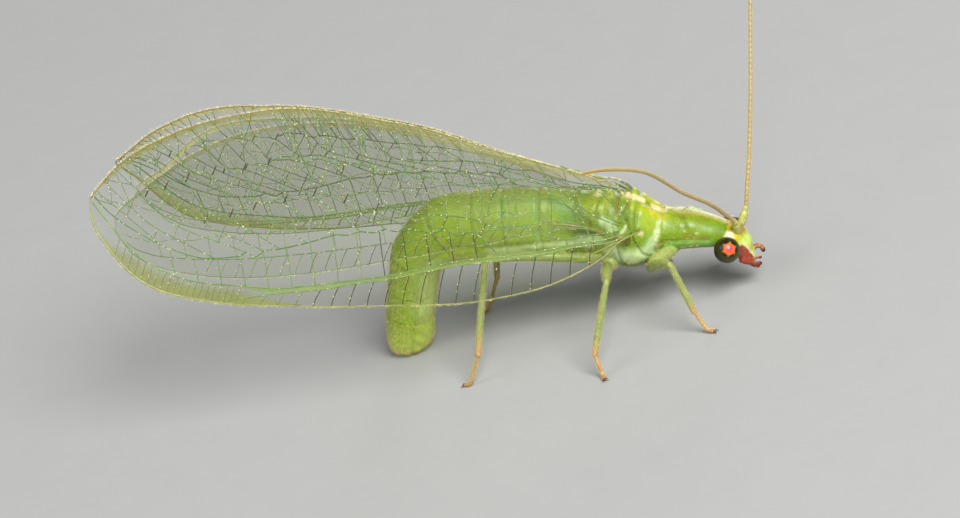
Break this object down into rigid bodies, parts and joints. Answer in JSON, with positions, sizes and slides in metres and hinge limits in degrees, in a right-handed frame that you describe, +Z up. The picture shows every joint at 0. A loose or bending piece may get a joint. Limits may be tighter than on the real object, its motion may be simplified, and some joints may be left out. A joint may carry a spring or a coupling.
{
  "type": "green lacewing",
  "caption": "Life-size museum model of a green lacewing at rest: roofed net-veined wings, head low, abdomen bent down to the ground.",
  "frame": {"origin": "on the ground, under the middle of the whole animal's box", "axes": "+X towards the head, +Y towards the animal's left, +Z up"},
  "size_m": [0.0172, 0.0112, 0.01],
  "materials": {
    "abdomen": "soft satin cuticle, yellow-green, with short golden hairs",
    "thorax": "satin green cuticle with a pale stripe along the back",
    "head": "satin yellow-green cuticle with a dark red cheek stripe",
    "eye": "dark glossy compound eye",
    "antenna": "satin tan, finely ringed",
    "leg": "satin green, orange at the feet",
    "wing": "clear thin membrane with green veins"
  },
  "bodies": {
    "root": {"abdomen_tip": "abdomen", "abdomen_bend": "abdomen", "abdomen_base": "abdomen", "metathorax": "thorax", "mesothorax": "thorax", "prothorax": "thorax", "head": "head", "eye_right": "eye", "eye_left": "eye", "antenna_right": "antenna", "antenna_left": "antenna", "leg_front_right": "leg", "leg_front_left": "leg", "leg_middle_right": "leg", "leg_middle_left": "leg", "leg_hind_right": "leg", "leg_hind_left": "leg", "forewing_right": "wing", "forewing_left": "wing", "hindwing_right": "wing", "hindwing_left": "wing"}
  },
  "joints": []
}
